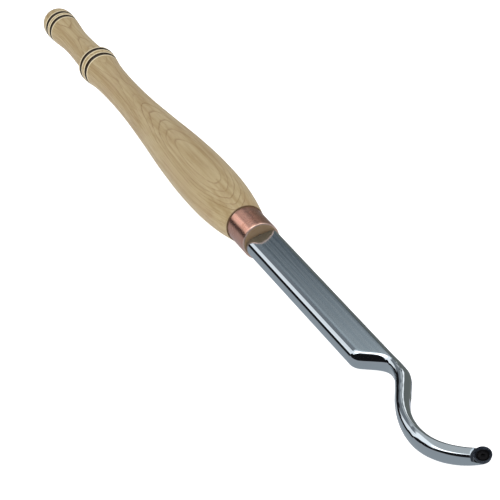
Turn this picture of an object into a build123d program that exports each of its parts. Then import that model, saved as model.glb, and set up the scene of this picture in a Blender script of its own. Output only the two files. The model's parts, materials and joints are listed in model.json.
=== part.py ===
from build123d import *
import math
import os

# Swan-neck hollowing tool for a wood lathe. Millimetres, +Z up.
# The bar and the handle lie along X, with the hook at +X and bending in the XY plane.
# The origin is the middle of the bar's flat underside, which slides on the lathe's tool rest.

# Flat bar
bar_width = 25.0
bar_thickness = 12.0
bar_length = 178.0          # straight on both sides, from the shoulder to the sweep
edge_radius = 3.3           # all the long edges are rounded over
shoulder_bevel = 0.8        # round the bar's end, where it meets the handle

# Sweep from the bar's -Y side to the neck
sweep_angle = 42.0
sweep_radius = 14.0
sweep_ease = 17.0           # how far the outline carries on along the sweep before it turns
neck_ease = 35.5            # how far back from the neck the outline falls in with it
root_radius = 20.0          # on the +Y side, where the straight bar turns into the neck

# Swan neck and hook
neck_width = 8.9
neck_angle = 28.0
neck_reach = 59.7           # from the bar's end to where the neck crosses the tool's axis
neck_run = 7.0              # straight past that crossing
bend_radius = 90.0          # from the neck's angle to parallel with the bar
hook_radius = 60.0
hook_angle = 52.6
hook_width = 10.2           # at the cutter
hook_stations = 9           # places where the hook's width is worked out
thinning_start = 77.0       # from the bar's end to where the underside begins to rise
thinning_ease = 35.0        # how gently it begins
thinning_angle = 33.0       # slope of the underside at the nose
nose_ease = 8.3             # how far back from the nose that slope reaches
nose_thickness = 7.0
least_flat = 0.3            # left between two rounded edges

# Cutter seat
seat_tilt = 22.0            # the cutter leans forwards by this much
seat_height = 1.9           # above the bar's mid-plane, at the screw
seat_clearance = 2.2        # from the cutter's rim to the wall behind it

# Round cup cutter
cutter_diameter = 12.0
cutter_height = 2.8
cutter_relief = 0.5         # the base is this much smaller in radius than the rim
cup_diameter = 10.2
cup_depth = 1.1
cup_floor_diameter = 8.0
cutter_gap = 0.02           # under the cutter, so that it turns on its seat

# Countersunk socket screw
screw_diameter = 4.0
screw_length = 4.6          # in the hook
head_diameter = 6.6
head_sink = 0.15            # below the cup's floor
socket_size = 2.5
socket_depth = 1.1
turning_clearance = 0.05    # on the radius, round the screw
screw_point = 0.5

# Tang
tang_diameter = 11.5
tang_length = 115.0
tang_point = 2.0
glue_gap = 0.15             # on the radius and at the end, for the adhesive

# Ferrule
ferrule_diameter = 28.6
ferrule_wall = 1.2
ferrule_length = 29.7
ferrule_lip = 0.5           # rounding of the front and back edges
ferrule_gap = 0.02          # on the radius, between wood and tube

# Turned handle: each place is a step behind the one before, from the ferrule's back edge
shoulder_step = 0.6         # the wood stands this much proud of the ferrule
flare_step = 14.0
flare_radius = 17.3
swell_step = 26.0
swell_radius = 20.1
belly_step = 40.0
belly_radius = 21.1
back_step = 46.0
back_radius = 19.5
taper_step = 48.0
taper_radius = 16.15
slope_step = 48.0
slope_radius = 13.3
waist_step = 33.0
waist_radius = 12.55
rise_step = 40.0
rise_radius = 13.6
ring_step = 22.5
ring_radius = 15.8
lip_step = 4.0
lip_radius = 13.8
cove_step = 7.5
cove_radius = 12.3
cove_slope = 0.1
grip_step = 42.0
grip_radius = 11.05
knob_step = 38.5
knob_radius = 13.45
butt_step = 16.8

# Burned grooves
ring_grooves = (2.7, 11.9)  # ahead of the ring's crest
knob_grooves = (2.7, 10.8)  # ahead of the knob's crest
groove_width = 1.1
groove_depth = 0.55

# Places worked out from the sizes
bar_end = bar_length / 2
shoulder_x = -bar_end
axis_z = bar_thickness / 2
ferrule_back = shoulder_x - ferrule_length
seat_axis = Vector(math.sin(math.radians(seat_tilt)), 0, math.cos(math.radians(seat_tilt)))


def heading(degrees):
    """Unit vector in the XY plane at this angle from +X."""
    return Vector(math.cos(math.radians(degrees)), math.sin(math.radians(degrees)))


def crossing(point, degrees, other, other_degrees):
    """Where two lines in the XY plane meet, each given by a point and a heading."""
    along, across = heading(degrees), heading(other_degrees)
    gap = other - point
    reach = (gap.X * across.Y - gap.Y * across.X) / (along.X * across.Y - along.Y * across.X)
    return point + along * reach


def neck_centre():
    """Centreline of the neck and hook: a straight run, then two tangent arcs."""
    start = Vector(bar_end + neck_reach, 0)
    run = Line(start, start + heading(-neck_angle) * neck_run)
    bend = JernArc(run @ 1, run % 1, bend_radius, neck_angle)
    hook = JernArc(bend @ 1, bend % 1, hook_radius, hook_angle)
    return Wire([run, bend, hook])


def side_line(centre, side):
    """Smooth edge of the neck and hook, where the width grows from the neck to the cutter."""
    points = []
    for station in range(hook_stations):
        share = station / (hook_stations - 1)
        half_width = (neck_width + (hook_width - neck_width) * share) / 2
        along = centre.tangent_at(share)
        points.append(centre.position_at(share) + Vector(-along.Y, along.X) * half_width * side)
    return Spline(points, tangents=[centre.tangent_at(0), centre.tangent_at(1)])


def sweep_line():
    """Edge of the sweep, which carries on from the bar's -Y side."""
    return JernArc((bar_end, -bar_width / 2), (1, 0), sweep_radius, sweep_angle)


def root_line(outer):
    """Edge of the root, from the sweep over a crest to the neck's outer edge."""
    sweep = sweep_line()
    return Bezier(
        sweep @ 1,
        sweep @ 1 + (sweep % 1) * sweep_ease,
        outer @ 0 - heading(-neck_angle) * neck_ease,
        outer @ 0,
    )


def blade_outline():
    """Outline of the bar, neck and hook, seen from above."""
    centre = neck_centre()
    inner = side_line(centre, 1)
    outer = side_line(centre, -1)
    right = Vector(shoulder_x, bar_width / 2)
    sweep = sweep_line()
    left_side = Line((shoulder_x, -bar_width / 2), sweep @ 0)
    root = root_line(outer)
    right_corner = crossing(right, 0, inner @ 0, -neck_angle)
    right_side = FilletPolyline(right, right_corner, inner @ 0, radius=root_radius)
    tip = centre @ 1 + (centre % 1) * hook_width / 2
    nose = ThreePointArc(outer @ 1, tip, inner @ 1)
    shoulder = Line(right, left_side @ 0)
    curves = [left_side, sweep, root, outer, nose, inner, right_side, shoulder]
    return make_face([edge for curve in curves for edge in curve.edges()])


def seat_place():
    """Plane of the cutter's seat, with its normal along the screw."""
    point = neck_centre() @ 1
    return Plane(
        origin=(point.X, point.Y, axis_z + seat_height),
        x_dir=(0, 1, 0),
        z_dir=tuple(seat_axis),
    )


def disc(plane, radius, bottom, top):
    """Cylinder standing on a plane, between two heights above it."""
    return extrude(plane.offset(bottom) * Circle(radius), amount=top - bottom)


def underside_waste(nose_x):
    """Steel below the hook's rising underside, right across the blade."""
    start_x = bar_end + thinning_start
    nose = Vector(nose_x, bar_thickness - nose_thickness)
    underside = Bezier(
        (start_x, 0),
        (start_x + thinning_ease, 0),
        nose - heading(thinning_angle) * nose_ease,
        nose,
    )
    rest = Polyline(nose, (nose_x, -bar_thickness), (start_x, -bar_thickness), (start_x, 0))
    profile = make_face(underside.edges() + rest.edges())
    return extrude(Plane.XZ * profile, amount=bar_length, both=True)


def edge_rounding():
    """Radius of the long edges, no more than the narrowest or thinnest steel has room for."""
    crest = root_line(side_line(neck_centre(), -1)).bounding_box().max.Y
    narrowest = min(nose_thickness, neck_width, bar_width / 2 - crest)
    return min(edge_radius, (narrowest - least_flat) / 2)


def make_blade():
    """Tang, flat bar, swan neck and hook, made as one forging."""
    body = extrude(blade_outline(), amount=bar_thickness)
    body -= underside_waste(body.bounding_box().max.X)
    sides = body.edges().filter_by(Axis.Z)
    shoulder_edges = body.faces().sort_by(Axis.X)[0].edges()
    long_edges = body.edges() - sides - shoulder_edges
    body = fillet(long_edges, edge_rounding())
    end_face = body.faces().sort_by(Axis.X)[0]
    body = chamfer(end_face.edges(), shoulder_bevel)
    seat = seat_place()
    pocket_radius = cutter_diameter / 2 + seat_clearance
    body -= disc(seat, pocket_radius, 0, bar_thickness)
    hole_radius = screw_diameter / 2 + turning_clearance
    body -= disc(seat, hole_radius, -bar_thickness, bar_thickness)
    tang_plane = Plane(origin=(shoulder_x + edge_radius, 0, axis_z), z_dir=(-1, 0, 0))
    tang = disc(tang_plane, tang_diameter / 2, 0, tang_length + edge_radius)
    tang = chamfer(tang.edges().group_by(Axis.X)[0], tang_point)
    return body + tang


def make_cutter():
    """Round cutter with a dished top, a keen rim and a countersunk hole."""
    rim = cutter_diameter / 2
    floor = cutter_height - cup_depth
    hole = screw_diameter / 2 + turning_clearance
    sink_mouth = head_diameter / 2 + turning_clearance
    sink_bottom = floor - head_sink - (sink_mouth - hole)
    profile = Polyline(
        (hole, cutter_gap),
        (rim - cutter_relief, cutter_gap),
        (rim, cutter_height),
        (cup_diameter / 2, cutter_height),
        (cup_floor_diameter / 2, floor),
        (sink_mouth, floor),
        (sink_mouth, floor - head_sink),
        (hole, sink_bottom),
        close=True,
    )
    turned = revolve(Plane.XZ * make_face(profile), Axis.Z)
    return seat_place() * turned


def make_cutter_screw():
    """Countersunk screw with a hexagon socket."""
    shank = screw_diameter / 2
    head = head_diameter / 2
    top = cutter_height - cup_depth - head_sink
    profile = Polyline(
        (0, -screw_length),
        (shank - screw_point, -screw_length),
        (shank, -screw_length + screw_point),
        (shank, top - (head - shank)),
        (head, top),
        (0, top),
        close=True,
    )
    turned = revolve(Plane.XZ * make_face(profile), Axis.Z)
    socket = RegularPolygon(socket_size / 2, 6, major_radius=False)
    turned -= extrude(Plane.XY.offset(top - socket_depth) * socket, amount=socket_depth)
    return seat_place() * turned


def make_ferrule():
    """Copper tube pressed over the front of the handle."""
    tube_plane = Plane(origin=(ferrule_back, 0, axis_z), z_dir=(1, 0, 0))
    outside = ferrule_diameter / 2
    tube = disc(tube_plane, outside, 0, ferrule_length)
    tube -= disc(tube_plane, outside - ferrule_wall, 0, ferrule_length)
    outer_rims = tube.edges().filter_by(GeomType.CIRCLE).group_by(SortBy.RADIUS)[-1]
    return fillet(outer_rims, ferrule_lip)


def handle_places():
    """Named places along the handle, each as X and the radius there."""
    steps = {
        "front": (0, ferrule_diameter / 2 + shoulder_step),
        "flare": (flare_step, flare_radius),
        "swell": (swell_step, swell_radius),
        "belly": (belly_step, belly_radius),
        "back": (back_step, back_radius),
        "taper": (taper_step, taper_radius),
        "slope": (slope_step, slope_radius),
        "waist": (waist_step, waist_radius),
        "rise": (rise_step, rise_radius),
        "ring": (ring_step, ring_radius),
        "lip": (lip_step, lip_radius),
        "cove": (cove_step, cove_radius),
        "grip": (grip_step, grip_radius),
        "knob": (knob_step, knob_radius),
        "butt": (butt_step, 0),
    }
    x = ferrule_back
    places = {}
    for name, (step, radius) in steps.items():
        x -= step
        places[name] = (x, radius)
    return places


def handle_profile():
    """Half outline of the turned handle, with X along the tool and Y as the radius."""
    at = handle_places()
    backwards, inwards = (-1, 0), (0, -1)
    into_grip = (-1, -cove_slope)
    spigot_radius = ferrule_diameter / 2 - ferrule_wall - ferrule_gap
    body_names = ("front", "flare", "swell", "belly", "back", "taper", "slope", "waist", "rise", "ring")
    body = Spline([at[name] for name in body_names])
    ring = Spline(at["ring"], at["lip"], tangents=[backwards, inwards])
    cove = Spline(at["lip"], at["cove"], tangents=[inwards, into_grip])
    grip = Spline(at["cove"], at["grip"], at["knob"], tangents=[into_grip, backwards])
    butt = Spline(at["knob"], at["butt"], tangents=[backwards, inwards])
    spigot = Polyline(
        at["butt"], (shoulder_x, 0), (shoulder_x, spigot_radius), (ferrule_back, spigot_radius), at["front"]
    )
    curves = [body, ring, cove, grip, butt, spigot]
    return make_face([edge for curve in curves for edge in curve.edges()])


def radius_at(blank, x):
    """Radius of the handle at one place along it."""
    slice_face = section(blank, Plane(origin=(x, 0, 0), z_dir=(1, 0, 0)))
    return slice_face.bounding_box().max.Y


def make_handle():
    """Turned handle with a blind hole for the tang and burned grooves."""
    at = handle_places()
    blank = revolve(handle_profile(), Axis.X)
    groove_places = [at["ring"][0] + ahead for ahead in ring_grooves]
    groove_places += [at["knob"][0] + ahead for ahead in knob_grooves]
    for x in groove_places:
        surface = radius_at(blank, x)
        floor = surface - groove_depth
        mouth = surface + groove_depth
        cut = Polyline((x, floor), (x - groove_width, mouth), (x + groove_width, mouth), close=True)
        blank -= revolve(make_face(cut), Axis.X)
    blank = Pos(0, 0, axis_z) * blank
    hole_plane = Plane(origin=(shoulder_x, 0, axis_z), z_dir=(-1, 0, 0))
    return blank - disc(hole_plane, tang_diameter / 2 + glue_gap, 0, tang_length + glue_gap)


def main():
    pieces = {
        "handle": make_handle(),
        "ferrule": make_ferrule(),
        "blade": make_blade(),
        "cutter": make_cutter(),
        "cutter_screw": make_cutter_screw(),
    }
    os.makedirs("parts", exist_ok=True)
    for name, shape in pieces.items():
        export_step(shape, f"parts/{name}.step")


main()
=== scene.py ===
import bpy
import bmesh
import json
import math
from mathutils import Matrix, Vector, noise


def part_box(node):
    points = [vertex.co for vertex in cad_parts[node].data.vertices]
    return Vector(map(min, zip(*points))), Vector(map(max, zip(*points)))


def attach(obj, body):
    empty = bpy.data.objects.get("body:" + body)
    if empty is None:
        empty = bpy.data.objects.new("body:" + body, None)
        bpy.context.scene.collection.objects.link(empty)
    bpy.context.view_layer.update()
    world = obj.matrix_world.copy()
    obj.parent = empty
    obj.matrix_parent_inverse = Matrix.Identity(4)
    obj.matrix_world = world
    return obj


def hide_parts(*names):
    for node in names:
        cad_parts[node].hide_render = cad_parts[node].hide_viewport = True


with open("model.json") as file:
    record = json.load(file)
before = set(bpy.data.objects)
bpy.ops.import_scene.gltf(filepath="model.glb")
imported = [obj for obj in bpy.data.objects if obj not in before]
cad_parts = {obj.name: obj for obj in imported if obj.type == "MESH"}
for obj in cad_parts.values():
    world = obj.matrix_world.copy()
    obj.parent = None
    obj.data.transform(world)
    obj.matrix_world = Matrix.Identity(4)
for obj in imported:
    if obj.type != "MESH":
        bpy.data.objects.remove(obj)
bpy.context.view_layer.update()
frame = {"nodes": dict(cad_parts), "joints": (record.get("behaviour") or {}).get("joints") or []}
print("frame loaded:", ", ".join(sorted(frame["nodes"])))

mm = 0.001
finishes = {}


def seatMatrix():
    # the cutter's seat: local X is the screw's axis, so that a turned piece drops straight on it
    joint = next(joint for joint in frame["joints"] if joint["name"] == "cutter_turn")
    along = Vector(joint["axis"]).normalized()
    side = Vector((0, 1, 0))
    turned = Matrix((along, side, along.cross(side))).transposed().to_4x4()
    return Matrix.Translation(Vector(joint["pos_m"])) @ turned


def axisMatrix():
    # the handle, the ferrule and the tang share this axis
    low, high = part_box("ferrule")
    return Matrix.Translation((0, 0, (low.z + high.z) / 2))


def linkObject(name, data):
    piece = bpy.data.objects.new(name, data)
    bpy.context.scene.collection.objects.link(piece)
    return piece


def objectFrom(work, name):
    mesh = bpy.data.meshes.new(name)
    work.to_mesh(mesh)
    work.free()
    return linkObject(name, mesh)


def dropObject(piece):
    data = piece.data
    bpy.data.objects.remove(piece)
    store = bpy.data.meshes if isinstance(data, bpy.types.Mesh) else bpy.data.curves
    store.remove(data)


def bakeModifiers(piece, name):
    # the evaluated result becomes a plain mesh and the worked-on object goes away
    graph = bpy.context.evaluated_depsgraph_get()
    mesh = bpy.data.meshes.new_from_object(piece.evaluated_get(graph))
    mesh.name = name
    dropObject(piece)
    return linkObject(name, mesh)


def tidyMesh(piece, smoothAngle=35, weld=2e-6):
    mesh = piece.data
    work = bmesh.new()
    work.from_mesh(mesh)
    bmesh.ops.remove_doubles(work, verts=work.verts, dist=weld)
    bmesh.ops.dissolve_degenerate(work, edges=work.edges, dist=weld)
    bmesh.ops.recalc_face_normals(work, faces=work.faces)
    for face in work.faces:
        face.smooth = True
    sharp = math.radians(smoothAngle)
    for edge in work.edges:
        edge.smooth = edge.is_manifold and edge.calc_face_angle(0) < sharp
    work.to_mesh(mesh)
    work.free()
    return piece


def dress(piece, finish):
    piece.data.materials.clear()
    piece.data.materials.append(finishes[finish])


def keepPiece(piece, body, node):
    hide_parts(node)
    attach(piece, body)
    print(piece.name + ":", len(piece.data.polygons), "faces")


def feed(tree, socket, value):
    # a socket takes another node's output or a plain value
    if isinstance(value, bpy.types.NodeSocket):
        tree.links.new(value, socket)
    else:
        socket.default_value = value


def addNode(tree, kind, values=None, **settings):
    node = tree.nodes.new(kind)
    for key, value in settings.items():
        setattr(node, key, value)
    for key, value in (values or {}).items():
        feed(tree, node.inputs[key], value)
    return node


def mathNode(tree, operation, *values, clamp=False):
    node = addNode(tree, "ShaderNodeMath", dict(enumerate(values)), operation=operation, use_clamp=clamp)
    return node.outputs[0]


def times(tree, first, second):
    return mathNode(tree, "MULTIPLY", first, second)


def minus(tree, first, second):
    return mathNode(tree, "SUBTRACT", first, second)


def vectorNode(tree, operation, *values):
    return addNode(tree, "ShaderNodeVectorMath", dict(enumerate(values)), operation=operation).outputs


def splitVector(tree, vector):
    return addNode(tree, "ShaderNodeSeparateXYZ", {0: vector}).outputs


def mixColours(tree, factor, first, second):
    values = {0: factor}
    for place, colour in ((6, first), (7, second)):
        values[place] = (*colour, 1) if isinstance(colour, tuple) else colour
    return addNode(tree, "ShaderNodeMix", values, data_type="RGBA").outputs[2]


def mapRange(tree, value, low, high, outLow=0.0, outHigh=1.0):
    values = {"Value": value, "From Min": low, "From Max": high, "To Min": outLow, "To Max": outHigh}
    return addNode(tree, "ShaderNodeMapRange", values, interpolation_type="SMOOTHSTEP").outputs["Result"]


def newGroup(name, inputs, outputs, kind="ShaderNodeTree"):
    # an input is given its kind of socket, or a number when it is a plain value
    tree = bpy.data.node_groups.new(name, kind)
    for label, value in inputs.items():
        plain = not isinstance(value, str)
        socketKind = "NodeSocketFloat" if plain else "NodeSocket" + value
        socket = tree.interface.new_socket(label, in_out="INPUT", socket_type=socketKind)
        if plain:
            socket.default_value = value
    for label, value in outputs.items():
        tree.interface.new_socket(label, in_out="OUTPUT", socket_type="NodeSocket" + value)
    entry = tree.nodes.new("NodeGroupInput").outputs
    leave = tree.nodes.new("NodeGroupOutput").inputs
    return tree, entry, leave


def useGroup(tree, group, **values):
    return addNode(tree, "ShaderNodeGroup", values, node_tree=group).outputs


# effects shared by several finishes

def makeGrainLines():
    # long fine lines that run along X, as brushing, turning marks or wood pores
    inputs = {"Vector": "Vector", "Along": 20.0, "Across": 900.0, "Wobble": 0.0, "Detail": 3.0}
    group, given, out = newGroup("grainLines", inputs, {"Lines": "Float"})
    bend = addNode(group, "ShaderNodeTexNoise", {"Vector": given["Vector"], "Scale": 14.0, "Detail": 2.0})
    centred = vectorNode(group, "SUBTRACT", bend.outputs["Color"], (0.5, 0.5, 0.5))[0]
    push = addNode(group, "ShaderNodeVectorMath", {0: centred, "Scale": given["Wobble"]}, operation="SCALE")
    moved = vectorNode(group, "ADD", given["Vector"], push.outputs[0])[0]
    scales = {"X": given["Along"], "Y": given["Across"], "Z": given["Across"]}
    stretch = addNode(group, "ShaderNodeCombineXYZ", scales).outputs[0]
    stretched = vectorNode(group, "MULTIPLY", moved, stretch)[0]
    lines = addNode(group, "ShaderNodeTexNoise", {
        "Vector": stretched, "Scale": 1.0, "Detail": given["Detail"], "Roughness": 0.6})
    feed(group, out["Lines"], lines.outputs["Fac"])
    return group


def makeBandMask():
    # 1 in a band across X round one place, fading out to both sides
    inputs = {"Place": 0.0, "Centre": 0.0, "Half": mm, "Fade": mm}
    group, given, out = newGroup("bandMask", inputs, {"Mask": "Float"})
    distance = mathNode(group, "ABSOLUTE", minus(group, given["Place"], given["Centre"]))
    beyond = minus(group, distance, given["Half"])
    share = mathNode(group, "DIVIDE", beyond, given["Fade"], clamp=True)
    feed(group, out["Mask"], mapRange(group, share, 0, 1, 1, 0))
    return group


def makeWearSpots():
    # soft cloudy variation, as handling, tarnish or an uneven polish
    inputs = {"Vector": "Vector", "Scale": 60.0, "Low": 0.4, "High": 0.7}
    group, given, out = newGroup("wearSpots", inputs, {"Mask": "Float"})
    clouds = addNode(group, "ShaderNodeTexNoise", {
        "Vector": given["Vector"], "Scale": given["Scale"],
        "Detail": 5.0, "Roughness": 0.62, "Distortion": 0.4})
    feed(group, out["Mask"], mapRange(group, clouds.outputs["Fac"], given["Low"], given["High"]))
    return group


grainLines = makeGrainLines()
bandMask = makeBandMask()
wearSpots = makeWearSpots()


def bandAt(tree, x, centre, half, fade):
    # centre in metres, half the width and the fade in millimetres
    return useGroup(tree, bandMask, Place=x, Centre=centre, Half=half * mm, Fade=fade * mm)["Mask"]


def layOver(tree, body, mask, amount, colour):
    return mixColours(tree, times(tree, mask, amount), body, colour)


def newMaterial(name):
    material = bpy.data.materials.new(name)
    material.use_nodes = True
    tree = material.node_tree
    place = tree.nodes.new("ShaderNodeTexCoord").outputs["Object"]
    finishes[name] = material
    return tree, tree.nodes["Principled BSDF"], place


def fillShader(tree, shader, values):
    for key, value in values.items():
        feed(tree, shader.inputs[key], value)


def addBump(tree, shader, height, strength, distance):
    # distance in millimetres
    values = {"Height": height, "Strength": strength, "Distance": distance * mm}
    feed(tree, shader.inputs["Normal"], addNode(tree, "ShaderNodeBump", values).outputs["Normal"])


def surfaceNormal(tree):
    return splitVector(tree, addNode(tree, "ShaderNodeNewGeometry").outputs["Normal"])


def arcRound(x, radius, along, across, start, end, count=5):
    # part of an ellipse round a point of an outline, from one angle to another in degrees
    points = []
    for step in range(count + 1):
        angle = math.radians(start + (end - start) * step / count)
        points.append((x + along * math.cos(angle), radius + across * math.sin(angle)))
    return points


# lengths in the pieces' dictionaries are in millimetres

handle = {
    # each place is a step behind the one before, from the ferrule's back edge, and its radius
    "places": [
        (0, 14.9), (14, 17.3), (26, 20.1), (40, 21.1), (46, 19.5), (48, 16.15), (48, 13.3),
        (33, 12.55), (40, 13.6), (22.5, 15.8), (4, 13.8), (7.5, 12.3), (42, 11.05), (38.5, 13.45),
    ],
    "frontSlope": 0.17,
    "gripSlope": -0.06,
    "ringPlace": 9,
    "knobPlace": 13,
    "ringGrooves": (2.7, 11.9),
    "knobGrooves": (2.7, 10.8),
    "grooveWidth": 1.15,
    "grooveDepth": 0.6,
    "grooveSoftness": 0.35,
    "grooveReach": 1.6,
    "spigotRadius": 13.08,
    "boreRadius": 5.9,
    "boreDepth": 115.15,
    "buttFullness": 2.6,
    "coarseStep": 3.0,
    "fineStep": 0.22,
    "ringTurns": 12,
    "buttTurns": 24,
    "sides": 160,
    "smoothAngle": 50,
}
ash = {
    "light": (0.485, 0.385, 0.208),
    "dark": (0.36, 0.252, 0.112),
    "blush": (0.405, 0.27, 0.155),
    "line": (0.20, 0.098, 0.028),
    "scorched": (0.022, 0.011, 0.002),
    # painted highlight on the rounded groove lips, over slightly paler wood
    "paleLipHighlight": (0.92, 0.80, 0.52),
    "endFibres": (0.25, 0.165, 0.08),
    "endGrain": (0.205, 0.135, 0.08),
    # painted shade in the joint between the wood and the copper
    "jointShade": (0.08, 0.035, 0.018),
    "cloudShare": 0.35,
    "blushShare": 0.5,
    "lateShare": 0.30,
    "lineShare": 0.80,
    "poreShare": 0.34,
    "paleLipHighlightShare": 0.85,
    "endShare": 0.8,
    "jointShadeShare": 0.75,
    "pith": (0.004, -0.088),  # metres from the origin, sideways and up
    "ringSpacing": 1.3,
    "yearStrength": (0.12, 1.0),
    "latePower": 2.5,
    "lineEdge": (0.78, 0.97),
    "poreEdge": (0.58, 0.70),
    "streakEdge": (0.34, 0.68),
    "waviness": 3.2,
    "waveScale": (9.0, 42.0, 42.0),
    "scorchBand": (1.75, 0.5),  # half width and fade
    "paleLipHighlightBand": (2.6, 0.9),
    "endBand": (1.0, 1.0),
    "jointShadeBand": (0.1, 0.7),
    "roughness": (0.42, 0.55),
    "specular": 0.15,
    "sheen": 0.13,
    "sheenRoughness": 0.4,
    "sheenTint": (0.93, 0.92, 0.96, 1),
    "coat": 0.2,
    "coatRoughness": 0.24,
    "bump": (0.35, 0.12),
}


def handleStations():
    # x in millimetres from the ferrule's back edge towards the butt, and the radius
    distance = 0
    stations = []
    for step, radius in handle["places"]:
        distance += step
        stations.append((distance, radius))
    return stations


def smoothRadius(stations, slopes, at):
    # cubic through the two stations on each side, with the slopes given at the stations
    for index in range(len(stations) - 1):
        (x0, r0), (x1, r1) = stations[index], stations[index + 1]
        if at <= x1:
            break
    gap = x1 - x0
    t = (at - x0) / gap
    a = 2 * t**3 - 3 * t**2 + 1
    b = t**3 - 2 * t**2 + t
    c = -2 * t**3 + 3 * t**2
    d = t**3 - t**2
    return a * r0 + b * gap * slopes[index] + c * r1 + d * gap * slopes[index + 1]


def stationSlopes(stations, ends):
    slopes = [ends[0]]
    for before, here, after in zip(stations, stations[1:], stations[2:]):
        leftGap, rightGap = here[0] - before[0], after[0] - here[0]
        left = (here[1] - before[1]) / leftGap
        right = (after[1] - here[1]) / rightGap
        slopes.append((left * rightGap + right * leftGap) / (leftGap + rightGap))
    return slopes + [ends[1]]


def grooveCentres():
    stations = handleStations()
    ring = stations[handle["ringPlace"]][0]
    knob = stations[handle["knobPlace"]][0]
    centres = [ring - ahead for ahead in handle["ringGrooves"]]
    return centres + [knob - ahead for ahead in handle["knobGrooves"]]


def grooveCut(at):
    cut = 0
    for centre in grooveCentres():
        away = abs(at - centre)
        # a V with its bottom and its lips rounded by the friction wire that burned it
        soft = math.sqrt(away**2 + handle["grooveSoftness"] ** 2)
        cut = max(cut, handle["grooveDepth"] * (1 - soft / handle["grooveWidth"]))
    return cut


def walk(start, end, stops, coarse, fine, reach):
    # places from start to end, close together near the stops
    at = start
    while at < end:
        yield at
        near = min(abs(at + fine - stop) for stop in stops)
        at += fine if near < reach else min(coarse, max(fine, (near - reach) * 0.5))
    yield end


def turnedStretch(stations, ends, back):
    # one smooth stretch of the outline with the burned grooves cut into it
    h = handle
    slopes = stationSlopes(stations, ends)
    start, end = stations[0][0], stations[-1][0]
    steps = walk(start, end, grooveCentres(), h["coarseStep"], h["fineStep"], h["grooveReach"])
    return [(back - at, smoothRadius(stations, slopes, at) - grooveCut(at)) for at in steps]


def handleProfile():
    h = handle
    stations = handleStations()
    ring = h["ringPlace"]
    back, front = (corner.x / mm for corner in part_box("ferrule"))
    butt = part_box("handle")[0].x / mm
    boreEnd = front - h["boreDepth"]
    outline = [(boreEnd, 0), (boreEnd, h["boreRadius"]), (front, h["boreRadius"])]
    outline += [(front, h["spigotRadius"]), (back, h["spigotRadius"])]
    outline += turnedStretch(stations[: ring + 1], (h["frontSlope"], 0.0), back)
    # behind the ring the outline rounds over a lip and runs out through a cove
    (lipX, lipRadius), (coveX, coveRadius), (gripX, gripRadius) = stations[ring : ring + 3]
    outline += arcRound(
        back - lipX, coveRadius, coveX - lipX, lipRadius - coveRadius, 90, 180, h["ringTurns"])[1:]
    outline += arcRound(
        back - gripX, coveRadius, gripX - coveX, coveRadius - gripRadius, 0, -90, h["ringTurns"])[1:]
    outline += turnedStretch(stations[ring + 2 :], (h["gripSlope"], 0.0), back)
    knobX, knobRadius = back - stations[-1][0], stations[-1][1]
    power = 2 / h["buttFullness"]
    for step in range(1, h["buttTurns"]):
        angle = math.pi / 2 * step / h["buttTurns"]
        x = knobX + (butt - knobX) * math.sin(angle) ** power
        outline.append((x, knobRadius * math.cos(angle) ** power))
    outline.append((butt, 0))
    return outline


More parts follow.
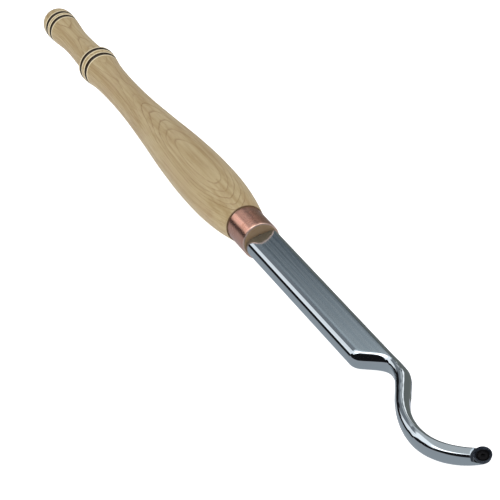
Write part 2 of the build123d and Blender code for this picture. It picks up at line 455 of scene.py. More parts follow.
def makeAsh():
    a = ash
    tree, shader, place = newMaterial("turnedAsh")
    x, y, z = splitVector(tree, place)
    # growth rings round a pith that lies below the handle, pushed about by slow noise
    slow = addNode(tree, "ShaderNodeTexNoise", {
        "Vector": vectorNode(tree, "MULTIPLY", place, a["waveScale"])[0],
        "Scale": 1.0, "Detail": 3.0, "Roughness": 0.55})
    away = [minus(tree, axis, middle) for axis, middle in zip((y, z), a["pith"])]
    squares = [times(tree, side, side) for side in away]
    fromPith = mathNode(tree, "SQRT", mathNode(tree, "ADD", *squares))
    pushed = mathNode(tree, "MULTIPLY_ADD", slow.outputs["Fac"], a["waviness"] * mm, fromPith)
    rings = mathNode(tree, "DIVIDE", pushed, a["ringSpacing"] * mm)
    share = mathNode(tree, "FRACT", rings)
    # each year has its own strength
    number = mathNode(tree, "FLOOR", rings)
    year = addNode(tree, "ShaderNodeTexWhiteNoise", {"W": number}, noise_dimensions="1D")
    strength = mapRange(tree, year.outputs["Value"], 0.15, 1.0, *a["yearStrength"])
    lateWood = mathNode(tree, "POWER", share, a["latePower"])
    lineMask = times(tree, mapRange(tree, share, *a["lineEdge"]), strength)
    pores = useGroup(tree, grainLines, Vector=place, Along=60.0, Across=1700.0, Wobble=0.0006, Detail=2.0)[0]
    poreMask = mapRange(tree, pores, *a["poreEdge"])
    streaks = useGroup(tree, grainLines, Vector=place, Along=6.0, Across=330.0, Wobble=0.003, Detail=5.0)[0]
    clouds = useGroup(tree, wearSpots, Vector=place, Scale=16.0, Low=0.38, High=0.70)[0]
    blush = useGroup(tree, wearSpots, Vector=place, Scale=31.0, Low=0.50, High=0.80)[0]
    # the late wood's line is broken up by its pores
    broken = times(tree, lineMask, mapRange(tree, pores, 0.36, 0.58, 0.45, 1.0))
    body = mixColours(tree, mapRange(tree, streaks, *a["streakEdge"]), a["light"], a["dark"])
    body = layOver(tree, body, clouds, a["cloudShare"], a["light"])
    body = layOver(tree, body, blush, a["blushShare"], a["blush"])
    body = layOver(tree, body, lateWood, a["lateShare"], a["dark"])
    body = layOver(tree, body, broken, a["lineShare"], a["line"])
    body = layOver(tree, body, poreMask, a["poreShare"], a["line"])
    # the rounded butt cuts across the fibres, which drink more oil and darken
    cutAcross = mapRange(tree, surfaceNormal(tree)["X"], -0.75, -0.2, 0.75, 0.0)
    body = mixColours(tree, cutAcross, body, a["endFibres"])
    # burned grooves, with a painted highlight on the rounded lips beside them, over slightly paler wood
    back, front = (corner.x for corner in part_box("ferrule"))
    scorch, paleLipHighlight = 0.0, 0.0
    for centre in grooveCentres():
        scorch = mathNode(tree, "MAXIMUM", bandAt(tree, x, back - centre * mm, *a["scorchBand"]), scorch)
        paleLipHighlight = mathNode(tree, "MAXIMUM", bandAt(tree, x, back - centre * mm, *a["paleLipHighlightBand"]), paleLipHighlight)
    # painted highlight along both lips of each groove
    body = layOver(tree, body, paleLipHighlight, a["paleLipHighlightShare"], a["paleLipHighlight"])
    body = mixColours(tree, scorch, body, a["scorched"])
    # bare end grain at the front, and painted shade in the joint where the wood meets the copper
    body = layOver(tree, body, bandAt(tree, x, front, *a["endBand"]), a["endShare"], a["endGrain"])
    body = layOver(tree, body, bandAt(tree, x, back, *a["jointShadeBand"]), a["jointShadeShare"], a["jointShade"])
    fillShader(tree, shader, {
        "Base Color": body,
        "Roughness": mapRange(tree, streaks, 0.3, 0.7, *a["roughness"]),
        "Specular IOR Level": a["specular"],
        "Coat Weight": a["coat"],
        "Coat Roughness": a["coatRoughness"],
        "Sheen Weight": a["sheen"],
        "Sheen Roughness": a["sheenRoughness"],
        "Sheen Tint": a["sheenTint"],
    })
    height = mathNode(tree, "MULTIPLY_ADD", poreMask, -0.7, times(tree, lineMask, -0.5))
    addBump(tree, shader, height, *a["bump"])


ferrule = {
    "wall": 1.2,
    "lip": 0.6,
    "lipTurns": 6,
    "rings": 12,
    "sides": 160,
}
copper = {
    "bright": (0.77, 0.41, 0.31),
    "deep": (0.66, 0.315, 0.222),
    # painted highlight: a paler colour along both rounded lips of the tube
    "rim": (0.95, 0.68, 0.56),
    # painted shade in the joint where the copper's back lip meets the wood
    "copperJointShade": (0.08, 0.025, 0.016),
    "rimHighlightShare": 0.8,
    "rimHighlightBand": (0.6, 0.3),  # half width and fade
    "copperJointShadeBand": (0.1, 0.3),
    "roughness": (0.21, 0.26),
    "spotRoughness": 0.05,
    "bump": (0.025, 0.02),
}


def ferruleProfile():
    low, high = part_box("ferrule")
    back, front = low.x / mm, high.x / mm
    outer = (high.z - low.z) / 2 / mm
    inner = outer - ferrule["wall"]
    lip, rings = ferrule["lip"], ferrule["rings"]
    span = front - back - 2 * lip
    outline = [(back, inner)]
    outline += arcRound(back + lip, outer - lip, lip, lip, 180, 90, ferrule["lipTurns"])
    outline += [(back + lip + span * count / rings, outer) for count in range(1, rings)]
    outline += arcRound(front - lip, outer - lip, lip, lip, 90, 0, ferrule["lipTurns"])
    outline += [(front, inner), (back, inner)]
    return outline


def makeCopper():
    c = copper
    tree, shader, place = newMaterial("polishedCopper")
    x, _, z = splitVector(tree, place)
    # turning marks run round the tube, so the stretched noise is fed with X and the height swapped
    swapped = addNode(tree, "ShaderNodeCombineXYZ", {"X": z, "Y": x}).outputs[0]
    marks = useGroup(tree, grainLines, Vector=swapped, Along=6.0, Across=1700.0, Detail=4.0)[0]
    spots = useGroup(tree, wearSpots, Vector=place, Scale=75.0, Low=0.42, High=0.75)[0]
    colour = mixColours(tree, spots, c["bright"], c["deep"])
    low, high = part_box("ferrule")
    # painted highlights: a pale band along the rounded lip at each end of the tube
    rimHighlights = 0.0
    for edge in (low.x + ferrule["lip"] * mm, high.x):
        rimHighlights = mathNode(tree, "MAXIMUM", bandAt(tree, x, edge, *c["rimHighlightBand"]), rimHighlights)
    colour = layOver(tree, colour, rimHighlights, c["rimHighlightShare"], c["rim"])
    # painted shade: a dark line on the back lip, where it meets the wood
    colour = mixColours(tree, bandAt(tree, x, low.x, *c["copperJointShadeBand"]), colour, c["copperJointShade"])
    rough = mapRange(tree, marks, 0.3, 0.7, *c["roughness"])
    rough = mathNode(tree, "MULTIPLY_ADD", spots, c["spotRoughness"], rough)
    fillShader(tree, shader, {"Base Color": colour, "Metallic": 1.0, "Roughness": rough})
    addBump(tree, shader, marks, *c["bump"])


blade = {
    "barWidth": 25.0,
    "thickness": 12.0,
    "barEnd": 89.0,
    "bevel": 0.8,
    "sweepRadius": 14.0,
    "sweepAngle": 42.0,
    "sweepEase": 17.0,
    "neckEase": 35.5,
    "rootRadius": 20.0,
    "neckWidth": 8.9,
    "neckAngle": 28.0,
    "neckReach": 59.7,
    "neckRun": 7.0,
    "bendRadius": 90.0,
    "hookRadius": 60.0,
    "hookAngle": 52.6,
    "hookWidth": 10.2,
    "thinningStart": 77.0,
    "thinningEase": 35.0,
    "thinningAngle": 33.0,
    "noseEase": 8.3,
    "noseThickness": 7.0,
    # radius of each long edge at places along the blade: top -Y edge, top +Y edge, both lower edges
    "ridge": [
        (88, 7.2), (98, 6.8), (110, 6.5), (124, 4.6), (142, 4.6), (160, 5.2), (185, 6.2), (205, 5.4),
        (228, 2.4),
    ],
    "brow": [(89, 3.3), (112, 3.3), (132, 5.2), (172, 4.6), (205, 2.6), (235, 1.8)],
    "keel": [(89, 3.4), (200, 3.4), (240, 3.2)],
    # how far hand grinding left the neck and hook uneven, and how much fuller their sides are
    "uneven": [(105, 0.0), (125, 0.07), (162, 0.13), (184, 0.04), (215, 0.04), (228, 0.0)],
    "fullness": [(108, 0.0), (128, 0.6), (148, 0.6), (162, 0.3), (182, 0.0)],
    "rippleLength": 7.5,
    "ripplePhase": (3.7, 1.3, 8.1),
    "leastFlat": 0.3,
    "tangRadius": 5.75,
    "tangLength": 115.0,
    "tangPoint": 2.0,
    "seatClearance": 2.2,
    "cutterRadius": 6.0,
    "holeRadius": 2.05,
    "seatSides": 160,
    # how finely each stretch is cut
    "barCuts": 45,
    "rootCuts": 90,
    "neckCuts": 130,
    "arcCuts": 60,
    "rootCurveCuts": 300,
    "undersideCuts": 200,
    "edgeTurns": 10,
    "sideCuts": 3,
    "noseSteps": 16,
    "flatCuts": 8,
}
steel = {
    "colour": (0.46, 0.54, 0.60),
    "polishedColour": (0.56, 0.61, 0.65),
    "streak": (0.60, 0.66, 0.70),
    "stain": (0.40, 0.46, 0.49),
    "streakShare": 0.35,
    "stainShare": 0.12,
    "flatness": (0.985, 0.9995),
    "brushedRoughness": (0.07, 0.16),
    "polishedRoughness": 0.035,
    "stainRoughness": 0.03,
    "polishStart": 6.0,
    "polishEase": 26.0,
    "bump": (0.16, 0.06),
}


def heading(degrees):
    return Vector((math.cos(math.radians(degrees)), math.sin(math.radians(degrees))))


def turnLeft(vector):
    return Vector((-vector.y, vector.x))


def arcPoints(start, startHeading, radius, sweep, count):
    # an arc that carries on from a point in a direction; sweep is negative to the right
    side = 1 if sweep > 0 else -1
    centre = start + turnLeft(heading(startHeading)) * radius * side
    points = []
    for step in range(count + 1):
        turned = startHeading + sweep * step / count
        points.append(centre - turnLeft(heading(turned)) * radius * side)
    return points


def bezierPoints(a, b, c, d, count):
    points = []
    for step in range(count + 1):
        t = step / count
        points.append(a * (1 - t)**3 + b * 3 * t * (1 - t)**2 + c * 3 * t**2 * (1 - t) + d * t**3)
    return points


def evenPoints(points, count):
    # the same line again with evenly spaced points
    lengths = [0.0]
    for before, after in zip(points, points[1:]):
        lengths.append(lengths[-1] + (after - before).length)
    result = []
    index = 0
    for step in range(count + 1):
        target = lengths[-1] * step / count
        while index < len(points) - 2 and lengths[index + 1] < target:
            index += 1
        gap = lengths[index + 1] - lengths[index]
        result.append(points[index].lerp(points[index + 1], (target - lengths[index]) / gap))
    return result


def neckStations(count):
    # centreline of the neck and hook as (point, heading, share of the length)
    s = blade
    runLength = s["neckRun"]
    bendLength = s["bendRadius"] * math.radians(s["neckAngle"])
    hookLength = s["hookRadius"] * math.radians(s["hookAngle"])
    total = runLength + bendLength + hookLength
    start = Vector((s["barEnd"] + s["neckReach"], 0))
    runEnd = start + heading(-s["neckAngle"]) * runLength
    bendCentre = runEnd + turnLeft(heading(-s["neckAngle"])) * s["bendRadius"]
    bendEnd = bendCentre - turnLeft(heading(0)) * s["bendRadius"]
    hookCentre = bendEnd + turnLeft(heading(0)) * s["hookRadius"]
    stations = []
    for step in range(count + 1):
        at = total * step / count
        if at < runLength:
            angle = -s["neckAngle"]
            point = start + heading(angle) * at
        elif at < runLength + bendLength:
            angle = -s["neckAngle"] + math.degrees((at - runLength) / s["bendRadius"])
            point = bendCentre - turnLeft(heading(angle)) * s["bendRadius"]
        else:
            angle = math.degrees((at - runLength - bendLength) / s["hookRadius"])
            point = hookCentre - turnLeft(heading(angle)) * s["hookRadius"]
        stations.append((point, angle, step / count))
    return stations


def bladeSides():
    # matching points down the -Y side and the +Y side, from the shoulder to the tip, with outward normals
    s = blade
    half = s["barWidth"] / 2
    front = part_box("ferrule")[1].x / mm
    stations = neckStations(s["neckCuts"])
    hookLeft, hookRight = [], []
    for point, angle, share in stations:
        width = (s["neckWidth"] + (s["hookWidth"] - s["neckWidth"]) * share) / 2
        across = turnLeft(heading(angle)) * width
        hookLeft.append(point - across)
        hookRight.append(point + across)
    barLeft, barRight = [], []
    for step in range(s["barCuts"] + 1):
        x = front + s["bevel"] + (s["barEnd"] - front - s["bevel"]) * step / s["barCuts"]
        barLeft.append(Vector((x, -half)))
        barRight.append(Vector((x, half)))
    sweep = arcPoints(Vector((s["barEnd"], -half)), 0, s["sweepRadius"], s["sweepAngle"], s["arcCuts"])
    root = bezierPoints(
        sweep[-1],
        sweep[-1] + heading(s["sweepAngle"]) * s["sweepEase"],
        hookLeft[0] - heading(-s["neckAngle"]) * s["neckEase"],
        hookLeft[0],
        s["rootCurveCuts"],
    )
    rootLeft = evenPoints(sweep + root[1:], s["rootCuts"])
    slope = math.radians(s["neckAngle"])
    cornerX = hookRight[0].x - (half - hookRight[0].y) / math.tan(slope)
    tangent = s["rootRadius"] * math.tan(slope / 2)
    turnStart = Vector((cornerX - tangent, half))
    turned = arcPoints(turnStart, 0, s["rootRadius"], -s["neckAngle"], s["arcCuts"])
    rootRight = evenPoints([Vector((s["barEnd"], half))] + turned + [hookRight[0]], s["rootCuts"])
    tip, angle, _ = stations[-1]
    left = barLeft + rootLeft[1:] + hookLeft[1:]
    right = barRight + rootRight[1:] + hookRight[1:]
    leftOut, rightOut = outwardNormals(left, -1), outwardNormals(right, 1)
    # a half circle closes the hook, walked from both sides to the tip
    for step in range(1, s["noseSteps"] + 1):
        turned = 90 * step / s["noseSteps"]
        leftOut.append(heading(angle - 90 + turned))
        rightOut.append(heading(angle + 90 - turned))
        left.append(tip + leftOut[-1] * s["hookWidth"] / 2)
        right.append(tip + rightOut[-1] * s["hookWidth"] / 2)
    return left, right, leftOut, rightOut


def outwardNormals(points, side):
    normals = []
    for index in range(len(points)):
        before = points[max(index - 1, 0)]
        after = points[min(index + 1, len(points) - 1)]
        normals.append(turnLeft((after - before).normalized()) * side)
    return normals


def undersideCurve(noseX):
    s = blade
    startX = s["barEnd"] + s["thinningStart"]
    nose = Vector((noseX, s["thickness"] - s["noseThickness"]))
    return bezierPoints(
        Vector((startX, 0)),
        Vector((startX + s["thinningEase"], 0)),
        nose - heading(s["thinningAngle"]) * s["noseEase"],
        nose,
        s["undersideCuts"],
    )


def undersideHeight(curve, x):
    if x <= curve[0].x:
        return 0
    for before, after in zip(curve, curve[1:]):
        if x <= after.x:
            return before.y + (after.y - before.y) * (x - before.x) / (after.x - before.x)
    return curve[-1].y


def valueAt(places, x):
    # eased value between named places along the blade
    for (x0, value0), (x1, value1) in zip(places, places[1:]):
        if x <= x1:
            share = min(max((x - x0) / (x1 - x0), 0), 1)
            share = share * share * (3 - 2 * share)
            return value0 + (value1 - value0) * share
    return places[-1][1]


def bladeRing(left, right, leftOut, rightOut, radii, curve, top):
    # one loop round the section: over the top, down the +Y side, back underneath, up the -Y side
    s = blade
    ring = []
    ridge, brow, keel = radii

    def low(point):
        return undersideHeight(curve, point.x)

    def corner(middle, out, radius, height, start, end):
        # a quarter turn from one direction to the next, angles in degrees above level
        for step in range(s["edgeTurns"]):
            angle = math.radians(start + (end - start) * step / s["edgeTurns"])
            point = middle + out * radius * math.cos(angle)
            ring.append((point.x, point.y, height(point) + radius * math.sin(angle)))

    def across(start, end, height):
        for step in range(s["flatCuts"]):
            point = start.lerp(end, step / s["flatCuts"])
            ring.append((point.x, point.y, height(point)))

    def upright(point, start, end):
        for step in range(s["sideCuts"]):
            ring.append((point.x, point.y, start + (end - start) * step / s["sideCuts"]))

    leftTop, rightTop = left - leftOut * ridge, right - rightOut * brow
    leftLow, rightLow = left - leftOut * keel, right - rightOut * keel
    across(leftTop, rightTop, lambda point: top)
    corner(rightTop, rightOut, brow, lambda point: top - brow, 90, 0)
    upright(right, top - brow, low(right) + keel)
    corner(rightLow, rightOut, keel, lambda point: low(point) + keel, 0, -90)
    across(rightLow, leftLow, low)
    corner(leftLow, leftOut, keel, lambda point: low(point) + keel, -90, 0)
    upright(left, low(left) + keel, top - ridge)
    corner(leftTop, leftOut, ridge, lambda point: top - ridge, 0, 90)
    return ring


def tangAndShoulder(curve):
    # the round tang, and the bar's end as a slightly smaller copy of its section
    s = blade
    half, middle = s["barWidth"] / 2, s["thickness"] / 2
    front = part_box("ferrule")[1].x / mm
    radii = [s[key][0][1] for key in ("ridge", "brow", "keel")]
    left, right = Vector((front, -half)), Vector((front, half))
    section = bladeRing(left, right, Vector((0, -1)), Vector((0, 1)), radii, curve, s["thickness"])
    shrinkY = 1 - s["bevel"] / half
    shrinkZ = 1 - s["bevel"] / middle
    shoulder = [(front, y * shrinkY, middle + (z - middle) * shrinkZ) for _, y, z in section]
    rings = []
    for x, radius in (
        (front - s["tangLength"], s["tangRadius"] - s["tangPoint"]),
        (front - s["tangLength"] + s["tangPoint"], s["tangRadius"]),
        (front, s["tangRadius"]),
    ):
        spokes = [Vector((y, z - middle)).normalized() * radius for _, y, z in shoulder]
        rings.append([(x, spoke.x, middle + spoke.y) for spoke in spokes])
    return rings + [shoulder]


def bladeRings():
    s = blade
    left, right, leftOut, rightOut = bladeSides()
    top = s["thickness"]
    curve = undersideCurve(max(point.x for point in left + right))
    rings = tangAndShoulder(curve)
    for index in range(len(left)):
        thickness = top - undersideHeight(curve, max(left[index].x, right[index].x))
        along = (left[index].x + right[index].x) / 2
        ridge, brow, keel = (valueAt(s[key], along) for key in ("ridge", "brow", "keel"))
        # no edge is rounder than the steel has room for
        if index < len(left) - s["noseSteps"]:
            width = (left[index] - right[index]).length - s["leastFlat"]
        spare = min(1, width / (ridge + brow))
        ridge, brow = ridge * spare, brow * spare
        keel = min(keel, width / 2, thickness - s["leastFlat"] - max(ridge, brow))
        rings.append(bladeRing(
            left[index], right[index], leftOut[index], rightOut[index], (ridge, brow, keel), curve, top))
    return rings


def bladeBody():
    s = blade
    work = bmesh.new()
    grid = [[work.verts.new(Vector(point) * mm) for point in ring] for ring in bladeRings()]
    for here, after in zip(grid, grid[1:]):
        for index in range(len(here)):
            following = (index + 1) % len(here)
            work.faces.new((here[index], here[following], after[following], after[index]))
    work.faces.new(grid[0])
    bmesh.ops.recalc_face_normals(work, faces=work.faces)
    work.normal_update()
    for vertex in work.verts:
        x, y, z = (value / mm for value in vertex.co)
        amount = valueAt(s["uneven"], x)
        if amount:
            ripple = noise.noise(Vector((x, y, z)) / s["rippleLength"] + Vector(s["ripplePhase"]))
            side = 1 - vertex.normal.z**2
            vertex.co += vertex.normal * (ripple * amount + side * valueAt(s["fullness"], x)) * mm
    return tidyMesh(objectFrom(work, "bladeBody"))


def seatTool(name, radius, low, high, sides):
    # a straight tool on the screw's axis, heights in millimetres above the seat
    work = bmesh.new()
    bmesh.ops.create_cone(
        work, cap_ends=True, segments=sides, radius1=radius * mm, radius2=radius * mm,
        depth=(high - low) * mm)
    stand = Matrix.Rotation(math.pi / 2, 4, "Y")
    shift = Matrix.Translation(((low + high) / 2 * mm, 0, 0))
    bmesh.ops.transform(work, matrix=seatMatrix() @ shift @ stand, verts=work.verts)
    return objectFrom(work, name)


def cutWith(piece, tools, name):
    for tool in tools:
        change = piece.modifiers.new(tool.name, "BOOLEAN")
        change.operation = "DIFFERENCE"
        change.solver = "EXACT"
        change.object = tool
    result = bakeModifiers(piece, name)
    for tool in tools:
        dropObject(tool)
    return result


def makeBlade():
    s = blade
    top = s["thickness"]
    body = bladeBody()
    pocket = seatTool("seatPocket", s["cutterRadius"] + s["seatClearance"], 0, top, s["seatSides"])
    hole = seatTool("screwHole", s["holeRadius"], -top, top / 2, s["seatSides"])
    piece = cutWith(body, [pocket, hole], "steelBlade")
    tidyMesh(piece, smoothAngle=28, weld=1e-6)
    dress(piece, "brushedSteel")
    keepPiece(piece, "tool", "blade")


def makeSteel():
    s = steel
    tree, shader, place = newMaterial("brushedSteel")
    # the bar's broad faces are brushed, its rounded edges and everything past the sweep are polished
    facing = surfaceNormal(tree)
    flat = mathNode(
        tree, "MAXIMUM", mathNode(tree, "ABSOLUTE", facing["Z"]), mathNode(tree, "ABSOLUTE", facing["Y"]))
    start = (blade["barEnd"] + s["polishStart"]) * mm
    pastSweep = mapRange(tree, splitVector(tree, place)["X"], start, start + s["polishEase"] * mm)
    onBar = minus(tree, 1.0, pastSweep)
    brushed = times(tree, mapRange(tree, flat, *s["flatness"]), onBar)
    polished = minus(tree, 1.0, brushed)
    lines = useGroup(tree, grainLines, Vector=place, Along=9.0, Across=1300.0, Wobble=0.0002, Detail=4.0)[0]
    coarse = useGroup(tree, grainLines, Vector=place, Along=5.0, Across=420.0, Wobble=0.0004, Detail=2.0)[0]
    spots = useGroup(tree, wearSpots, Vector=place, Scale=38.0, Low=0.38, High=0.72)[0]
    tone = mixColours(tree, brushed, s["polishedColour"], s["colour"])
    streak = times(tree, mapRange(tree, coarse, 0.35, 0.65), brushed)
    tone = layOver(tree, tone, streak, s["streakShare"], s["streak"])
    tone = layOver(tree, tone, spots, s["stainShare"], s["stain"])
    rough = times(tree, mapRange(tree, lines, 0.3, 0.7, *s["brushedRoughness"]), brushed)
    smooth = mathNode(tree, "MULTIPLY_ADD", spots, s["stainRoughness"], s["polishedRoughness"])
    smooth = times(tree, smooth, polished)
    fillShader(tree, shader, {
        "Base Color": tone, "Metallic": 1.0, "Roughness": mathNode(tree, "ADD", rough, smooth)})
    height = times(tree, mathNode(tree, "ADD", lines, coarse), brushed)
    addBump(tree, shader, height, *s["bump"])


cutter = {
    "height": 2.8,
    "radius": 6.0,
    "relief": 0.5,
    "cupRadius": 5.1,
    "cupFloorRadius": 4.0,
    "cupDepth": 1.1,
    "cupSteps": 8,
    "rimRound": 0.12,
    "rimAngle": 80,
    "gap": 0.02,
    "holeRadius": 2.05,
    "sinkRadius": 3.35,
    "headSink": 0.15,
    "sides": 160,
    "finish": {
        "colour": (0.042, 0.05, 0.066),
        "edgeColour": (0.085, 0.10, 0.13),
        "roughness": (0.19, 0.35),
        # painted shade for the hollow of the cup round the screw
        "black": (0.004, 0.004, 0.005),
        "blackRadius": (4.2, 4.5),  # painted shade: the cup's hollow is painted near black from the axis out to here
    },
}
screw = {
    "shankRadius": 2.0,
    "length": 4.6,
    "headRadius": 3.3,
    "headRound": 0.2,
    "headAngle": 60,
    "socketAcross": 2.5,
    "socketDepth": 1.1,
    "point": 0.5,
    "threadPitch": 0.7,
    "threadDepth": 0.16,
    "sides": 96,
    "finish": {
        "colour": (0.008, 0.008, 0.009),
        "edgeColour": (0.02, 0.02, 0.022),
        "roughness": (0.29, 0.45),
    },
}


def cutterProfile():
    c = cutter
    floor = c["height"] - c["cupDepth"]
    sinkBottom = floor - c["headSink"] - (c["sinkRadius"] - c["holeRadius"])
    rim = c["rimRound"]
    outline = [(c["gap"], c["holeRadius"]), (c["gap"], c["radius"] - c["relief"])]
    outline += arcRound(c["height"] - rim, c["radius"] - rim, rim, rim, c["rimAngle"], 0)
    outline.append((c["height"], c["cupRadius"]))
    for step in range(1, c["cupSteps"] + 1):
        share = step / c["cupSteps"]
        outline.append((
            c["height"] - c["cupDepth"] * math.sin(share * math.pi / 2),
            c["cupRadius"] - (c["cupRadius"] - c["cupFloorRadius"]) * share,
        ))
    outline += [(floor, c["sinkRadius"]), (floor - c["headSink"], c["sinkRadius"])]
    outline += [(sinkBottom, c["holeRadius"]), (c["gap"], c["holeRadius"])]
    return outline


def headTop():
    return cutter["height"] - cutter["cupDepth"] - cutter["headSink"]


def screwProfile():
    s = screw
    top = headTop()
    neck = top - (s["headRadius"] - s["shankRadius"])
    outline = [(-s["length"], 0), (-s["length"], s["shankRadius"] - s["point"])]
    at = -s["length"] + s["point"]
    # the thread shows as fine rings round the shank
    while at < neck - 2 * s["threadPitch"]:
        outline.append((at, s["shankRadius"]))
        outline.append((at + s["threadPitch"] / 2, s["shankRadius"] - s["threadDepth"]))
        at += s["threadPitch"]
    outline += [(at, s["shankRadius"]), (neck, s["shankRadius"])]
    edge = s["headRound"]
    outline.append((top - edge * 1.7, s["headRadius"] - edge * 0.7))
    outline += arcRound(top - edge, s["headRadius"] - edge, edge, edge, s["headAngle"], 0)
    outline.append((top, 0))
    return outline


def makeDarkSteel(name, finish):
    tree, shader, place = newMaterial(name)
    marks = useGroup(tree, grainLines, Vector=place, Along=500.0, Across=2600.0, Detail=2.0)[0]
    spots = useGroup(tree, wearSpots, Vector=place, Scale=420.0, Low=0.4, High=0.75)[0]
    body = mixColours(tree, spots, finish["colour"], finish["edgeColour"])
    # painted shade: the cup's floor and hollow round the screw are painted near black
    if "black" in finish:
        # distance from the screw's axis
        seat = seatMatrix()
        away = vectorNode(tree, "SUBTRACT", place, seat.translation)[0]
        across = vectorNode(tree, "CROSS_PRODUCT", away, seat.col[0].xyz)[0]
        radius = vectorNode(tree, "LENGTH", across)["Value"]
        inner, outer = finish["blackRadius"]
        inside = mapRange(tree, radius, inner * mm, outer * mm, 1.0, 0.0)
        body = mixColours(tree, inside, body, finish["black"])
    rough = mapRange(tree, marks, 0.3, 0.7, *finish["roughness"])
    fillShader(tree, shader, {"Base Color": body, "Metallic": 0.9, "Roughness": rough})
    addBump(tree, shader, marks, 0.12, 0.03)


# one tree spins a half outline round X for every turned piece

def turningTree():
    inputs = {"Geometry": "Geometry", "Sides": "Int", "Finish": "Material"}
    tree, given, leave = newGroup("turnedPiece", inputs, {"Geometry": "Geometry"}, "GeometryNodeTree")
    outline = addNode(tree, "GeometryNodeCurveToPoints", {"Curve": given["Geometry"]}, mode="EVALUATED")
    points = outline.outputs["Points"]
    size = addNode(tree, "GeometryNodeAttributeDomainSize", {"Geometry": points}, component="POINTCLOUD")
    count = size.outputs["Point Count"]
    around = mathNode(tree, "ADD", given["Sides"], 1)
    grid = addNode(tree, "GeometryNodeMeshGrid", {
        "Size X": 1.0, "Size Y": 1.0, "Vertices X": count, "Vertices Y": around})
    spread = splitVector(tree, grid.outputs["UV Map"])
    last = minus(tree, count, 1)
    row = mathNode(tree, "ROUND", times(tree, spread["X"], last))
    place = addNode(tree, "GeometryNodeInputPosition").outputs[0]
    sample = addNode(
        tree, "GeometryNodeSampleIndex", {"Geometry": points, "Value": place, "Index": row},
        data_type="FLOAT_VECTOR", domain="POINT")
    point = splitVector(tree, sample.outputs["Value"])
    angle = times(tree, spread["Y"], 2 * math.pi)
    sine, cosine = (mathNode(tree, operation, angle) for operation in ("SINE", "COSINE"))
    spun = addNode(tree, "ShaderNodeCombineXYZ", {
        "X": point["X"], "Y": times(tree, point["Y"], sine),
        "Z": times(tree, point["Y"], cosine)})
    result = grid.outputs["Mesh"]
    for kind, values in (
        ("GeometryNodeSetPosition", {"Position": spun.outputs[0]}),
        ("GeometryNodeMergeByDistance", {"Distance": 1e-6}),
        ("GeometryNodeRealizeInstances", {}),
        ("GeometryNodeSetMaterial", {"Material": given["Finish"]}),
    ):
        result = addNode(tree, kind, {"Geometry": result, **values}).outputs[0]
    feed(tree, leave["Geometry"], result)
    return tree


def setInput(modifier, label, value):
    for item in modifier.node_group.interface.items_tree:
        if item.name == label and item.in_out == "INPUT":
            modifier[item.identifier] = value


turnedPiece = turningTree()


def turn(name, outline, finish, sides, place, smoothAngle=32):
    curve = bpy.data.curves.new(name + "Outline", "CURVE")
    curve.dimensions = "3D"
    line = curve.splines.new("POLY")
    line.points.add(len(outline) - 1)
    for point, (x, radius) in zip(line.points, outline):
        point.co = (x * mm, radius * mm, 0, 1)
    worked = linkObject(name + "Outline", curve)
    lathe = worked.modifiers.new("turning", "NODES")
    lathe.node_group = turnedPiece
    setInput(lathe, "Sides", sides)
    setInput(lathe, "Finish", finishes[finish])
    piece = bakeModifiers(worked, name)
    piece.data.transform(place)
    return tidyMesh(piece, smoothAngle)


def makeTurned():
    axis, seat = axisMatrix(), seatMatrix()
    wood = turn("turnedHandle", handleProfile(), "turnedAsh", handle["sides"], axis, handle["smoothAngle"])
    keepPiece(wood, "tool", "handle")
    tube = turn("copperFerrule", ferruleProfile(), "polishedCopper", ferrule["sides"], axis)
    keepPiece(tube, "tool", "ferrule")
    cup = turn("cupCutter", cutterProfile(), "darkCutter", cutter["sides"], seat)
    keepPiece(cup, "cutter", "cutter")
    blank = turn("screwBlank", screwProfile(), "blackScrew", screw["sides"], seat)
    top, deep = headTop(), screw["socketDepth"]
    socket = seatTool("hexSocket", screw["socketAcross"] / math.sqrt(3), top - deep, top + deep, 6)
    bolt = cutWith(blank, [socket], "socketScrew")
    tidyMesh(bolt, smoothAngle=30, weld=1e-7)
    dress(bolt, "blackScrew")
    keepPiece(bolt, "cutter_screw", "cutter_screw")


studio = {
    "lens": 201.6,
    "sensor": 36,
    "cameraPlace": (1.5667, -0.4719, 1.0481),
    "cameraTurn": (57.8972, 12.1376, 66.8909),
    "floorSize": 14.0,
    "floorGap": 0.0006,
    # the tool rests on its belly, behind the ferrule, and on its hook, past the bar's end
    "bellyBack": 80.0,
    "hookAhead": 126.0,
    "hookHeight": 0.3,
    "white": (0.60, 0.60, 0.60, 1),
    "glow": 0.92,
    # what polished metal sees: a pale ceiling, a dark band at the horizon and a greyed floor
    "ceilingEdge": (0.42, 0.43, 0.45),
    "ceiling": (0.8, 0.8, 0.8),
    "ceilingRise": (0.2, 1.0),
    "horizon": (0.015, 0.016, 0.017),
    "horizonFade": (0.18, 0.24),
    "ground": (0.40, 0.435, 0.465),
    "groundFade": (0.04, 0.08),
    # what everything else is lit by
    "room": (0.86, 0.86, 0.89),
}
black = (0.01, 0.01, 0.011)
shadow = (0.012, 0.012, 0.013)
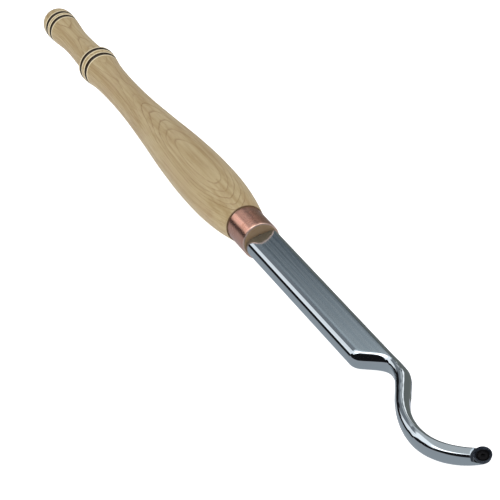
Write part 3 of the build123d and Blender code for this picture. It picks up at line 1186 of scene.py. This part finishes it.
# soft panels painted in the surroundings, in degrees: azimuth, elevation, half the width and the height,
# softness of the edge, then the light
panels = [
    (200, 33, 33, 25, 3, (1.36, 1.39, 1.41)),
    (204, 27, 6, 6, 3, (1.15, 1.17, 1.19)),
    (180, 30.5, 13.5, 8.5, 3, (0.24, 0.26, 0.28)),
    (192, 53, 11, 7, 2, (4, 4, 4)),
    (25, 60, 40, 18, 6, (1.7, 1.7, 1.7)),
    (235, 63, 14, 8, 2, black),
    (270, 30, 33, 38, 3, black),
    (228, 24, 10, 12, 2, black),
    (214, 9, 16, 8, 2, black),
    (268, 2, 46, 11, 3, (0.42, 0.44, 0.47)),
    (181, 8, 9, 18, 3, shadow),
    (193, 11, 8, 10, 3, shadow),
    (190, -8, 11, 7, 3, (0.60, 0.62, 0.64)),
    (124, -2, 34, 42, 4, (0.18, 0.193, 0.18)),
    (146, 32, 5, 4, 2, (1.5, 1.5, 1.5)),
    (157, 33, 2, 4, 1.5, (0.04, 0.045, 0.045)),
    (159, -34, 14, 13, 4, (0.46, 0.48, 0.54)),
    (162, 24, 5, 11, 4, (0.10, 0.115, 0.13)),
    (162, 46, 5, 13, 4, (0.60, 0.63, 0.64)),
    (135, 71, 9, 9, 5, (0.05, 0.055, 0.065)),
]
# two soft lamps over the tool: place and power
lamps = {"keyPanel": ((-0.6, -0.9, 1.9), 6), "fillPanel": ((1.0, 1.4, 1.5), 4)}
lampAim = (-0.1, 0, 0)
lampSize = (1.6, 1.2)


def makeFloor():
    # the tool lies on its belly and its hook, so the floor is a little askew to its axis
    s = studio
    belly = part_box("handle")[0].z
    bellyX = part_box("ferrule")[0].x - s["bellyBack"] * mm
    hookX = (blade["barEnd"] + s["hookAhead"]) * mm
    tilt = math.atan2(s["hookHeight"] * mm - belly, hookX - bellyX)
    work = bmesh.new()
    bmesh.ops.create_grid(work, x_segments=8, y_segments=8, size=s["floorSize"] / 2)
    place = Matrix.Translation((bellyX, 0, belly - s["floorGap"])) @ Matrix.Rotation(-tilt, 4, "Y")
    bmesh.ops.transform(work, matrix=place, verts=work.verts)
    floor = objectFrom(work, "paleFloor")
    tree, shader, _ = newMaterial("floorPaper")
    fillShader(tree, shader, {
        "Base Color": s["white"], "Roughness": 0.9,
        "Emission Color": (1, 1, 1, 1), "Emission Strength": s["glow"]})
    dress(floor, "floorPaper")
    floor.visible_glossy = False


def softPanel():
    # 1 inside a soft rectangle of directions
    inputs = {"Direction": "Vector"}
    for label in ("Azimuth", "Elevation", "HalfWide", "HalfHigh", "Edge"):
        inputs[label] = 0.0
    group, given, out = newGroup("softPanel", inputs, {"Mask": "Float"})
    # turn the direction so that the panel's middle lies on +X
    level = addNode(group, "ShaderNodeVectorRotate", {
        "Vector": given["Direction"], "Angle": times(group, given["Azimuth"], -1)},
        rotation_type="Z_AXIS")
    down = addNode(group, "ShaderNodeVectorRotate", {
        "Vector": level.outputs[0], "Angle": given["Elevation"]}, rotation_type="Y_AXIS")
    ahead, sideways, upwards = splitVector(group, down.outputs[0])
    mask = mathNode(group, "GREATER_THAN", ahead, 0)
    for offset, half in ((sideways, "HalfWide"), (upwards, "HalfHigh")):
        angle = mathNode(group, "ARCTAN2", mathNode(group, "ABSOLUTE", offset), ahead)
        inside = minus(group, given[half], angle)
        share = mathNode(group, "DIVIDE", inside, given["Edge"])
        mask = times(group, mask, mapRange(group, share, -0.5, 0.5))
    feed(group, out["Mask"], mask)
    return group


def makeSurroundings():
    s = studio
    world = bpy.data.worlds.new("studio")
    bpy.context.scene.world = world
    world.use_nodes = True
    tree = world.node_tree
    direction = tree.nodes.new("ShaderNodeTexCoord").outputs["Generated"]
    height = splitVector(tree, direction)["Z"]
    light = mixColours(tree, mapRange(tree, height, *s["ceilingRise"]), s["ceilingEdge"], s["ceiling"])
    light = mixColours(tree, mapRange(tree, height, *s["horizonFade"], 1.0, 0.0), light, s["horizon"])
    light = mixColours(tree, mapRange(tree, height, *s["groundFade"], 1.0, 0.0), light, s["ground"])
    group = softPanel()
    for panel in panels:
        azimuth, elevation, wide, high, edge = (math.radians(angle) for angle in panel[:5])
        mask = useGroup(
            tree, group, Direction=direction, Azimuth=azimuth, Elevation=elevation,
            HalfWide=wide, HalfHigh=high, Edge=edge)[0]
        light = mixColours(tree, mask, light, panel[5])
    # only reflections see the panels; the camera sees the same paper white past the floor
    path = tree.nodes.new("ShaderNodeLightPath").outputs
    light = mixColours(tree, path["Is Glossy Ray"], s["room"], light)
    light = mixColours(tree, path["Is Camera Ray"], light, (1.0, 1.0, 1.0))
    feed(tree, tree.nodes["Background"].inputs["Color"], light)


def makeLamps():
    for name, (place, power) in lamps.items():
        data = bpy.data.lights.new(name, "AREA")
        data.shape = "RECTANGLE"
        data.size, data.size_y = lampSize
        data.energy = power
        lamp = linkObject(name, data)
        lamp.location = place
        lamp.rotation_euler = (Vector(lampAim) - Vector(place)).to_track_quat("-Z", "Y").to_euler()
        lamp.visible_glossy = False
        lamp.visible_camera = False


def makeCamera():
    s = studio
    data = bpy.data.cameras.new("camera")
    data.lens = s["lens"]
    data.sensor_width = s["sensor"]
    data.clip_start, data.clip_end = 0.01, 100
    camera = linkObject("camera", data)
    camera.location = s["cameraPlace"]
    camera.rotation_euler = [math.radians(angle) for angle in s["cameraTurn"]]
    bpy.context.scene.camera = camera


makeAsh()
makeCopper()
makeSteel()
makeDarkSteel("darkCutter", cutter["finish"])
makeDarkSteel("blackScrew", screw["finish"])
print("finishes ready")
makeTurned()
makeBlade()
makeFloor()
makeSurroundings()
makeLamps()
makeCamera()
bpy.context.scene.view_settings.view_transform = "Standard"
print("studio ready")
